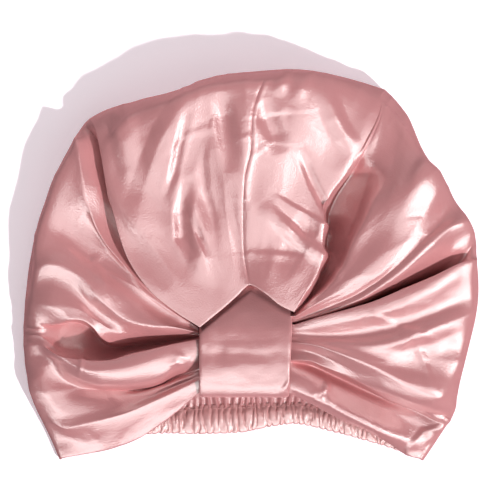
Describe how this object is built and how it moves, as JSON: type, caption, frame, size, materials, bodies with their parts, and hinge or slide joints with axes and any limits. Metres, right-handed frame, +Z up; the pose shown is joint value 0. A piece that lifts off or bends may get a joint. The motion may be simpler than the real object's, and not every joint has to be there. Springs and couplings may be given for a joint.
{
  "type": "satin hair turban",
  "caption": "Soft pink satin turban lying on its back, with folds gathered into a front knot band, a full rounded crown and a ruched elastic casing along the back of the mouth.",
  "frame": {"origin": "centre of the turban's box on the surface it lies on", "axes": "+Z up through the gathered front, +Y from the mouth towards the top of the crown, +X to the right as the front is seen from above"},
  "size_m": [0.2986, 0.2563, 0.055],
  "materials": {
    "crown_satin": "glossy pink satin weave",
    "knot_satin": "glossy pink satin weave, doubled",
    "casing_satin": "puckered pink satin over elastic"
  },
  "bodies": {
    "root": {"crown_left": "crown_satin", "crown_right": "crown_satin", "knot_band": "knot_satin", "elastic_band": "casing_satin"}
  },
  "joints": []
}
